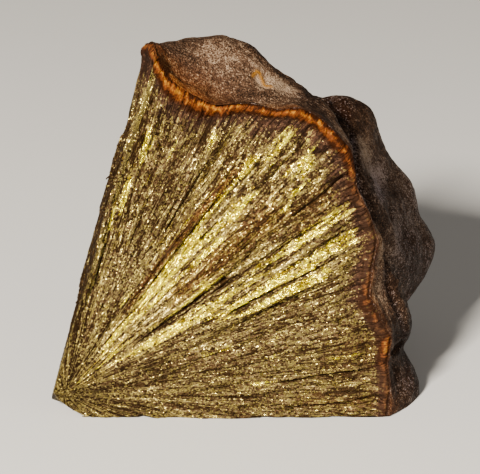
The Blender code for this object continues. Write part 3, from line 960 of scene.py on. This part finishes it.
def rust_colour(t, colours, seen):
    """How much the rust rim covers the fibres, and its colour: orange hairs, or dull clay."""
    strokes = t.drawn_out(STROKES, 2.0, 0.6)
    rim = t.attribute("rim")
    rusty = t.attribute("rusty")
    place = t.plus(rim, t.total((0.9, strokes), (0.9, seen["blotches"])))
    place = t.minus(place, 0.9)
    warm = t.total(
        (1.3, strokes), (1.6, seen["blotches"]), (1.4, seen["pits"]), (0.6, seen["grain"]), (0.28, rusty))
    warm = t.minus(warm, t.ramp(rim, 0.34, 0.05, 1.83, 2.27))
    warm = t.minus(warm, t.ramp(place, 0.35, 1.05, 0.0, 0.52))
    orange = t.ladder(warm, (
        (0.16, shade(colours.rust, 0.15)), (0.36, shade(colours.rust, 0.6)), (0.54, colours.rust),
        (0.80, colours.ochre)))
    muted = t.ladder(warm, (
        (0.16, shade(colours.band, 0.4)), (0.50, shade(colours.clay, 0.45)), (0.80, colours.clay)))
    return t.ramp(place, 1.3, 0.8), t.mix(t.ramp(rusty, 0.75, 0.2, 0.0, 0.85), orange, muted)


def tilt_facets(t, seen, covered, bare):
    """Normal of the fibres: each flake and speck is turned its own way, and shining ones lean up."""
    middle = (0.5, 0.5, 0.5)
    tilt = t.vector("SUBTRACT", seen["flakes"], middle)
    tilt = t.vector("SCALE", tilt, scale=t.ramp(covered, 0.0, 1.0, 0.75, 0.25))
    speck_tilt = t.vector("SUBTRACT", seen["specks"], middle)
    tilt = t.vector("ADD", tilt, t.vector("SCALE", speck_tilt, scale=0.45))
    lean = t.vector("SCALE", SHINE_LEAN, scale=t.times(seen["shining"], bare))
    rough = t.bump(t.total((0.5, seen["threads"]), (0.6, seen["grain"]), (-0.5, seen["split"])), 0.0003)
    return t.vector("NORMALIZE", t.vector("ADD", t.vector("ADD", rough, tilt), lean))


def fibre_material(colours):
    """Brassy fibres: shining bundles with a painted highlight, dull brown ones, cracks darkened with painted
    shade, and the rust rim.
    """
    t = Tree(FIBRES)
    seen = fibre_patterns(t)
    tone = fibre_tone(t, seen)
    colour = brass_colour(t, colours, seen, tone)
    dark = band_share(t, tone)
    colour = t.mix(dark, colour, t.ladder(tone, (
        (0.28, shade(colours.band, 0.2)), (0.56, shade(colours.band, 0.75)),
        (0.80, shade(colours.band, 1.5)), (1.05, shade(colours.gold, 0.6)))))
    rim, rust = rust_colour(t, colours, seen)
    rust_share = t.times(rim, t.ramp(t.attribute("rusty"), 0.0, 0.8, 0.7, 1.0))
    t.look("Base Color", t.mix(rust_share, colour, rust))

    covered = t.maths("MAXIMUM", rim, t.times(dark, 0.85))
    bare = t.minus(1.0, covered)
    metal = t.times(t.ramp(tone, 0.36, 0.70, 0.35, 1.0), bare)
    roughness = t.total((1.0, t.ramp(tone, 0.40, 0.80, 0.52, 0.20)), (0.2, covered))
    t.look("Metallic", metal)
    t.look("Specular IOR Level", 0.04)
    t.look("Roughness", roughness)
    t.look("Normal", tilt_facets(t, seen, covered, bare))


def crust_tone(t, seen):
    """How light each place of the crust is, from 0 to about 1."""
    # Where shade is painted the crust is darker, with a stronger grain and brighter pale specks.
    painted_shade = t.attribute("painted_shade")
    grain = t.times(seen["grain"], t.ramp(painted_shade, 0.0, 1.0, 0.80, 1.45))
    tone = t.total(
        (1.0, grain), (-0.325, painted_shade), (0.55, seen["lumps"]), (0.45, seen["clouds"]),
        (0.30, t.attribute("pale_and_painted_light")), (-0.06, painted_shade), (-0.06, t.attribute("stain")))
    tone = t.minus(tone, 0.445)
    pale_specks = t.ramp(seen["specks"], 0.80, 0.95)
    return t.plus(tone, t.times(pale_specks, t.ramp(painted_shade, 0.0, 1.0, 0.14, 0.34)))


def crust_colour(t, colours, seen, tone):
    """Brown with pale bloom, rusty by the rim, and near black with slate specks where shade is painted."""
    colour = t.ladder(tone, (
        (0.26, shade(colours.crust, 0.20)), (0.44, shade(colours.crust, 0.8)),
        (0.57, shade(colours.crust, 1.8)), (0.72, shade(colours.bloom, 0.75)), (0.88, colours.bloom)))
    reddened = t.ladder(tone, (
        (0.25, shade(colours.rust, 0.5)), (0.46, shade(colours.rust, 1.5)),
        (0.70, shade(colours.ochre, 1.1))))
    # Colours where shade is painted: near black, with slate for the pale patches.
    painted_shade_colour = t.ladder(tone, (
        (0.28, shade(colours.rust, 0.08)), (0.46, shade(colours.crust, 0.6)),
        (0.62, shade(colours.crust, 1.5)), (0.80, colours.slate)))
    pale_in_painted_shade = t.ladder(tone, (
        (0.28, shade(colours.rust, 0.06)), (0.46, shade(colours.crust, 0.55)),
        (0.58, shade(colours.slate, 0.45)), (0.76, shade(colours.slate, 1.15))))
    stained = t.times(t.attribute("stain"), t.ramp(seen["clouds"], 0.25, 0.6, 0.35, 0.9))
    colour = t.mix(stained, colour, reddened)
    colour = t.mix(t.attribute("tan"), colour, shade(colours.bloom, 0.9))
    colour = t.mix(t.attribute("scar"), colour, shade(colours.ochre, 0.8))
    # Pale patches inside the painted shade take the slate colours; some of them are a painted sheen.
    painted_shade_colour = t.mix(t.ramp(t.attribute("pale_and_painted_light"), 0.0, 0.35), painted_shade_colour, pale_in_painted_shade)
    return t.mix(t.attribute("painted_shade"), colour, painted_shade_colour)


def crust_material(colours):
    """Brown iron oxide crust with pale bloom, painted light and painted shade, rusty along the rim."""
    t = Tree("oxide_crust")
    place = t.place()
    seen = {
        "grain": t.noise(place, CRUST_GRAIN, 1.0, 0.6),
        "lumps": t.noise(place, CRUST_LUMPS, 3.0, 0.7),
        "clouds": t.noise(place, CRUST_CLOUDS, 2.0, 0.5),
        "specks": t.vector("DOT_PRODUCT", t.cells(place, CRUST_SPECKS), RED),
    }
    tone = crust_tone(t, seen)
    t.look("Base Color", crust_colour(t, colours, seen, tone))
    t.look("Metallic", 0.0)
    t.look("Specular IOR Level", 0.06)
    t.look("Roughness", t.ramp(seen["lumps"], 0.3, 0.7, 0.66, 0.42))
    t.look("Normal", t.bump(t.total((0.5, seen["grain"]), (0.9, seen["lumps"])), 0.0005))
    return t.material


def patch_sum(table, spread, back):
    """Sum of soft patches on the crust."""
    total = np.zeros(spread.shape)
    for angle, depth, wide, deep, strength in table:
        total += strength * np.exp(-(((spread - angle) / wide) ** 2) - ((back - depth) / deep) ** 2)
    return np.clip(total, -1.0, 1.0)


def crust_looks(spread, back):
    """What the crust's colours follow, for each of its points."""
    # Painted shade darkens the crust in the crease, in a thin line along the rim and in the listed patches.
    crease = distance_to_line(spread, back, CREASE)
    painted_crease_shade = np.exp(-((crease / 0.6) ** 2))
    by_rim = smooth(0.6, 0.2, back) * smooth(64.0, 56.0, spread)
    near_rim = 1.0 - smooth(0.4, 3.2, back)
    by_left = smooth(56.0, 72.0, spread) * (1.0 - smooth(3.0, 7.0, back))
    return {
        "pale_and_painted_light": patch_sum(PALE_AND_PAINTED_LIGHT_PATCHES, spread, back),
        "painted_shade": np.clip(patch_sum(PAINTED_SHADE_PATCHES, spread, back) + painted_crease_shade + by_rim, 0.0, 1.0),
        "stain": np.clip(0.3 * near_rim + 0.5 * by_left, 0.0, 1.0),
        "scar": np.exp(-((distance_to_line(spread, back, SCAR_RING) / 0.24) ** 2)),
        "tan": np.exp(-((distance_to_line(spread, back, SCAR_LENS) / 0.40) ** 2)),
    }


def front_looks(angle, radius):
    """What the front's fibres look like, from the tables of its bundles."""
    rags = read_noise(along_fibres(angle, radius, STREAK_RAGS, 90.0))
    return {
        "streak_and_painted_highlight": np.clip(bundle_sum(STREAKS, angle + 0.3 * rags, radius + 2.0 * rags, 2.0, 4), 0.0, 1.0),
        "crack_and_painted_shade": bundle_sum(CRACKS, angle, radius, 2.5),
        "dull": np.clip(bundle_sum(DULL, angle, radius, 5.0), 0.0, 1.0),
        "wild": np.clip(bundle_sum(CHUNKY, angle, radius, 6.0), 0.0, 1.0),
        "calm": np.clip(bundle_sum(CALM, angle, radius, 8.0), 0.0, 1.0),
        "light": bundle_sum(TONES, angle, radius, 8.0),
        "rusty": np.interp(angle, *np.array(RUST_SHARES).T),
    }


def side_looks(angle, radius, seed):
    """What the fibres of the back and the left look like: plain, in lighter and darker bundles."""
    bundles = read_noise(along_fibres(angle, radius, SIDE_BUNDLES, seed + 70.0))
    even = np.ones(angle.shape)
    return {
        "streak_and_painted_highlight": 0.0 * even,
        "crack_and_painted_shade": 0.22 * smooth(0.35, 0.6, -bundles),
        "dull": 0.0 * even,
        "wild": 0.15 * even,
        "calm": 0.4 * even,
        "light": -0.05 + 0.20 * smooth(0.15, 0.5, bundles),
        "rusty": 0.6 * even,
    }


def left_light(angle, radius):
    """Lighter and darker parts of the left face, bright along its front corner and below its rim."""
    corner = np.exp(-((angle / 2.2) ** 2)) + 0.6 * np.exp(-(((angle - 25.0) / 3.0) ** 2))
    light = -0.21 + 0.38 * corner - 0.16 * np.exp(-(((angle - 7.0) / 2.5) ** 2))
    return light + 0.22 * smooth(35.5, 37.5, radius) * smooth(43.5, 41.5, radius)


def dress_face(tree, shape, name, side):
    """The net of one broken face: its points, their lift, and what its fibres look like."""
    rim, ends, outward, seed, across = side
    outward = np.array(outward)
    points, drop, spread, radius, depth = face_net(tree, rim, ends, outward, ring_shares(shape), across)
    relief, angle = fibre_relief(spread, radius, seed, shape)
    looks = front_looks(angle, radius) if name == "front" else side_looks(angle, radius, seed)
    rim_width = np.full(angle[0].shape, shape.rim_width)
    band_width = np.interp(angle, *np.array(BAND_WIDTHS).T)
    if name == "front":
        rim_width = np.interp(angle[0], *np.array(RIM_WIDTHS).T) * MM
    if name == "left":
        looks["light"] = left_light(angle, radius)
        band_width = LEFT_BAND_WIDTH
    worn = 1.0 - smooth(0.4 * MM, 1.6 * MM, depth)
    relief = 0.6 * relief * (1.0 - 0.85 * worn) * (1.0 - 0.5 * looks["calm"]) * (1.0 - 0.5 * looks["streak_and_painted_highlight"])
    ragged = read_noise(along_fibres(angle[:1], 0.0 * angle[:1], RIM_RAGS, seed))
    height = drop + relief - 1.3 * looks["crack_and_painted_shade"] * MM * (1.0 - worn)
    height += rim_shape(depth, rim_width, ragged, shape)
    return looks | {
        "points": points, "lift": height[..., None] * outward, "outward": outward,
        "rim": depth / rim_width, "band": depth / MM / band_width,
        "lane": angle + seed * 90.0, "reach": radius,
    }


def face_nets(tree, shape, crust):
    """The nets of the three broken faces. Each has its own seed."""
    points, spread, back = crust
    columns = np.linspace(0, 1, shape.columns + 1)
    rows = np.linspace(0, 1, shape.rows + 1)
    front_ends = broken_end(columns, 0.0 * columns)
    back_ends = broken_end(columns, 0.0 * columns + 1.0)
    left_ends = broken_end(0.0 * rows + 1.0, rows)
    sides = {
        "front": (points[0], front_ends, (0.0, -1.0, 0.0), 3.0, spread[0]),
        "back": (points[-1], back_ends, Vector((-BACK_RUN, 1.0, 0.0)).normalized(), 31.0, spread[-1]),
        "left": (points[:, -1], left_ends, (-1.0, 0.0, 0.0), 57.0, back[:, -1]),
    }
    return {name: dress_face(tree, shape, name, side) for name, side in sides.items()}


def shape_net(bm, shape, layers, crust, nets):
    """Move the net's points to their places, and keep in them what the materials follow."""
    points, spread, back = crust
    shares = ring_shares(shape)
    rows = np.linspace(0, 1, shape.rows + 1)
    base_ends = broken_end(0.0 * rows, rows)
    base = base_ends + (points[:, 0] - base_ends) * shares[:, None, None]
    crust_layers = crust_looks(spread, back)
    kept = {name: bm.verts.layers.float.new(name) for name in FACE_LAYERS + tuple(crust_layers)}
    nearest, farthest = CAD_BOX[0][1] + BOX_GAP, CAD_BOX[1][1] - BOX_GAP
    for vert in bm.verts:
        column, row, ring = (vert[layer] for layer in layers)
        on_base = column == 0
        point = points[row, column] if ring == 0 else None
        lift = np.zeros(3)
        for name, on_face, step in (
            ("front", row == 0, column), ("back", row == shape.rows, column),
            ("left", column == shape.columns, row),
        ):
            if on_face:
                net = nets[name]
                lift = lift + net["lift"][ring, step]
                if point is None:
                    point = net["points"][ring, step]
                for key in FACE_LAYERS:
                    vert[kept[key]] = net[key][ring, step]
        if on_base and point is None:
            point = base[ring, row]
            vert[kept["rim"]] = (1.0 - shares[ring]) * FIBRE_LENGTH / MM
        vert.co = point + lift
        vert.co.y = min(max(vert.co.y, nearest), farthest)
        if on_base:
            vert.co.z = LOW.z
        above = vert.co.z - LOW.z
        if above < 5.0 * BASE_FADE:
            gap = float(base_gap(np.array(vert.co.x), np.array(vert.co.y)))
            vert.co.z += gap * math.exp(-max(above, 0.0) / BASE_FADE)
        if ring == 0:
            for key, table in crust_layers.items():
                vert[kept[key]] = table[row, column]


def build_nodule(shape, colours, crust, nets):
    """The whole wedge as one closed mesh."""
    shares = ring_shares(shape)
    bm = bmesh.new()
    layers = lay_net(bm, shape, len(shares))
    shape_net(bm, shape, layers, crust, nets)
    thin_net(bm, shape, layers, [(step, int(np.argmax(shares < limit))) for step, limit in THINNING])
    bmesh.ops.triangulate(bm, faces=bm.faces, quad_method="SHORT_EDGE")
    bmesh.ops.recalc_face_normals(bm, faces=bm.faces)
    mesh = bpy.data.meshes.new("nodule")
    bm.to_mesh(mesh)
    bm.free()
    mesh.materials.append(crust_material(colours))
    mesh.materials.append(bpy.data.materials[FIBRES])
    mesh.shade_smooth()
    nodule = bpy.data.objects.new("nodule", mesh)
    bpy.context.scene.collection.objects.link(nodule)
    return nodule


def lay_blades(doublings):
    """Many small blunt blades in one mesh, all at the origin, each with its number."""
    bm = bmesh.new()
    number = bm.verts.layers.int.new("number")
    bmesh.ops.create_cube(bm, size=1.0)
    top = [vert for vert in bm.verts if vert.co.z > 0.0]
    bmesh.ops.scale(bm, vec=BLADE_TOP, verts=top)
    for step in range(doublings):
        grown = bmesh.ops.duplicate(bm, geom=bm.verts[:] + bm.edges[:] + bm.faces[:])["geom"]
        for item in grown:
            if isinstance(item, bmesh.types.BMVert):
                item[number] += 2**step
    return bm, number


def unit(vectors):
    """Vectors made one long."""
    return vectors / np.linalg.norm(vectors, axis=-1, keepdims=True)


def turn(first, second, angle):
    """Two axes turned towards each other by an angle."""
    return first * np.cos(angle) + second * np.sin(angle), second * np.cos(angle) - first * np.sin(angle)


def pick_places(net, surface, area, count, random):
    """Random faces of a net for the blades, more of them in the shining bundles."""
    edge = np.linspace(0.0, 1.0, area.shape[1])
    likely = area * (0.35 + 1.3 * net["streak_and_painted_highlight"]) * (1.0 - 0.8 * np.clip(net["crack_and_painted_shade"] * 3.0, 0.0, 1.0))
    likely *= smooth(1.0, 1.35, net["rim"]) * (0.2 + 0.8 * smooth(0.5, 1.1, net["band"]))
    likely *= surface[..., 2] > LOW.z + 0.3 * MM
    likely *= smooth(0.0, 0.05, np.minimum(edge, 1.0 - edge))
    picked = random.choice(area.size, size=count, p=(likely / likely.sum()).ravel())
    return np.unravel_index(picked, area.shape)


def blade_axes(along, across, outward, wild, random):
    """Axes of the blades: along the fibres, across them and out of the face, each a little turned."""
    count = len(along)
    yaw = np.clip(random.normal(0.0, 1.0, (count, 1)) * (0.07 + 0.5 * wild), -MOST_YAW, MOST_YAW)
    length_axis = unit(along)
    side_axis = unit(across - length_axis * np.sum(across * length_axis, axis=-1, keepdims=True))
    up_axis = np.cross(length_axis, side_axis)
    turned = np.sum(up_axis * outward, axis=-1, keepdims=True) < 0.0
    side_axis = np.where(turned, -side_axis, side_axis)
    up_axis = np.where(turned, -up_axis, up_axis)
    length_axis, side_axis = turn(length_axis, side_axis, yaw)
    side_axis, up_axis = turn(side_axis, up_axis, random.normal(0.0, 0.28, (count, 1)))
    lean = np.clip(random.normal(0.0, 0.16, (count, 1)), -MOST_LEAN, MOST_LEAN)
    length_axis, up_axis = turn(length_axis, up_axis, lean)
    return length_axis, side_axis, up_axis


def build_blades(name, doublings, net, shape, seed):
    """Small crystal blades that stand out of a broken face."""
    random = np.random.default_rng(seed)
    surface = net["points"] + net["lift"]
    along = surface[:-1, :-1] - surface[1:, :-1]
    across = surface[:-1, 1:] - surface[:-1, :-1]
    area = np.linalg.norm(np.cross(along, across), axis=-1)
    middle = {key: net[key][:-1, :-1] for key in FACE_LAYERS}
    count = 2**doublings
    picked = pick_places(middle, surface[:-1, :-1], area, count, random)
    share_along, share_across = random.random((2, count, 1))
    centre = surface[picked] - along[picked] * share_along + across[picked] * share_across
    wild = middle["wild"][picked][:, None]
    calm = middle["calm"][picked][:, None]
    axes = blade_axes(along[picked], across[picked], net["outward"], wild, random)
    grown = np.exp(random.normal(0.0, 0.35, (count, 1))) * (0.45 + middle["reach"][picked][:, None] / 70.0)
    broad = np.exp(random.normal(0.0, 0.2, (count, 1))) * (1.0 + 0.5 * wild) * (1.0 + 0.1 * calm)
    long = grown * (1.0 - 0.35 * wild) * (1.15 - 0.5 * calm)
    sizes = shape.length * long, shape.width * grown * broad, shape.height * grown

    bm, number = lay_blades(doublings)
    blade = np.array([vert[number] for vert in bm.verts])
    local = np.array([vert.co[:] for vert in bm.verts])
    places = centre[blade]
    for index, (axis, size) in enumerate(zip(axes, sizes)):
        places = places + local[:, index : index + 1] * (size * axis)[blade]
    places = np.clip(places, np.array(CAD_BOX[0]) + BOX_GAP, np.array(CAD_BOX[1]) - BOX_GAP)
    for vert, place in zip(bm.verts, places):
        vert.co = place
    mesh = bpy.data.meshes.new(name)
    bm.to_mesh(mesh)
    bm.free()
    values = {key: middle[key][picked] for key in FACE_LAYERS}
    # A random tone for each blade, and a painted glint in the colour of a few.
    glint = random.normal(0.0, 1.0, count) * 0.08 + 0.02
    values["glint"] = glint + 0.16 * (random.random(count) > 1.0 - BRIGHT_BLADES)
    for key, table in values.items():
        mesh.attributes.new(key, "FLOAT", "POINT").data.foreach_set("value", table[blade].astype(np.float32))
    mesh.materials.append(bpy.data.materials[FIBRES])
    blades = bpy.data.objects.new(name, mesh)
    bpy.context.scene.collection.objects.link(blades)
    return blades


class MARCASITE_OT_nodule(bpy.types.Operator):
    """Build the wedge with its crust, its rust rim and its broken faces"""

    bl_idname = "marcasite.nodule"
    bl_label = "Nodule"

    def execute(self, context):
        shape = context.scene.nodule_shape
        colours = context.scene.nodule_colours
        fibre_material(colours)
        tree = solid_tree()
        crust = crust_net(tree, shape)
        nodule = build_nodule(shape, colours, crust, face_nets(tree, shape, crust))
        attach(nodule, "root")
        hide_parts(NODE)
        return {"FINISHED"}


class MARCASITE_OT_blades(bpy.types.Operator):
    """Build the small crystal blades of the broken faces, after the nodule"""

    bl_idname = "marcasite.blades"
    bl_label = "Blades"

    def execute(self, context):
        shape = context.scene.blade_shape
        nodule_shape = context.scene.nodule_shape
        tree = solid_tree()
        nets = face_nets(tree, nodule_shape, crust_net(tree, nodule_shape))
        for number, (name, net) in enumerate(nets.items()):
            blades = build_blades("blades_" + name, getattr(shape, name), net, shape, shape.seed + number)
            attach(blades, "root")
        return {"FINISHED"}


def aim(thing, target):
    """Turn a light or a camera to look at a target."""
    thing.rotation_euler = (Vector(target) - thing.location).to_track_quat("-Z", "Y").to_euler()


def add_light(name, place, target, size, watts, colour):
    """Square soft light."""
    light = bpy.data.lights.new(name, "AREA")
    light.size = size
    light.energy = watts
    light.color = colour
    lamp = bpy.data.objects.new(name, light)
    bpy.context.scene.collection.objects.link(lamp)
    lamp.location = place
    aim(lamp, target)


class MARCASITE_OT_stage(bpy.types.Operator):
    """Build the floor, the lights and the camera"""

    bl_idname = "marcasite.stage"
    bl_label = "Stage"

    def execute(self, context):
        settings = context.scene.stage_settings
        bm = bmesh.new()
        bmesh.ops.create_grid(bm, x_segments=1, y_segments=1, size=FLOOR_SIZE)
        mesh = bpy.data.meshes.new("floor")
        bm.to_mesh(mesh)
        bm.free()
        t = Tree("pale_floor")
        cloud = t.noise(t.place(), FLOOR_CLOUDS, 3.0)
        colour = settings.floor_colour
        t.look("Base Color", t.mix(cloud, shade(colour, 0.97), colour))
        t.look("Roughness", 0.7)
        mesh.materials.append(t.material)
        floor = bpy.data.objects.new("floor", mesh)
        floor.location.z = LOW.z
        context.scene.collection.objects.link(floor)

        target = LOW + Vector(settings.target)
        for name, (offset, size, watts, light_colour) in LIGHTS.items():
            add_light(name, target + Vector(offset), target, size, watts, light_colour)
        world = bpy.data.worlds.new("room")
        world.use_nodes = True
        background = world.node_tree.nodes["Background"]
        background.inputs["Color"].default_value = ROOM_COLOUR
        background.inputs["Strength"].default_value = ROOM_STRENGTH
        context.scene.world = world

        lens = bpy.data.cameras.new("camera")
        lens.sensor_width = SENSOR_WIDTH
        lens.lens = lens.sensor_width * settings.distance / settings.view_width
        lens.clip_start = NEAREST_SEEN
        camera = bpy.data.objects.new("camera", lens)
        context.scene.collection.objects.link(camera)
        outward = Vector((0.0, -math.cos(settings.elevation), math.sin(settings.elevation)))
        camera.location = target + outward * settings.distance
        camera.rotation_euler = (math.pi / 2 - settings.elevation, 0.0, 0.0)
        context.scene.camera = camera
        return {"FINISHED"}


class MARCASITE_PT_panel(bpy.types.Panel):
    """Sizes, colours and the steps of the nodule"""

    bl_label = "Marcasite Nodule"
    bl_idname = "MARCASITE_PT_panel"
    bl_space_type = "VIEW_3D"
    bl_region_type = "UI"
    bl_category = "Marcasite"

    def draw(self, context):
        for group in SETTINGS:
            settings = getattr(context.scene, group)
            box = self.layout.box()
            for name in settings.__annotations__:
                box.prop(settings, name)
        for operator in (MARCASITE_OT_nodule, MARCASITE_OT_blades, MARCASITE_OT_stage):
            self.layout.operator(operator.bl_idname)


SETTINGS = {
    "nodule_shape": NoduleShape, "blade_shape": BladeShape, "nodule_colours": NoduleColours,
    "stage_settings": StageSettings,
}
CLASSES = (
    *SETTINGS.values(), MARCASITE_OT_nodule, MARCASITE_OT_blades, MARCASITE_OT_stage, MARCASITE_PT_panel,
)


def register():
    for item in CLASSES:
        bpy.utils.register_class(item)
    for name, group in SETTINGS.items():
        setattr(bpy.types.Scene, name, PointerProperty(type=group))


def unregister():
    for name in SETTINGS:
        delattr(bpy.types.Scene, name)
    for item in reversed(CLASSES):
        bpy.utils.unregister_class(item)


def main():
    register()
    bpy.ops.marcasite.nodule()
    bpy.ops.marcasite.blades()
    bpy.ops.marcasite.stage()


if __name__ == "__main__":
    main()
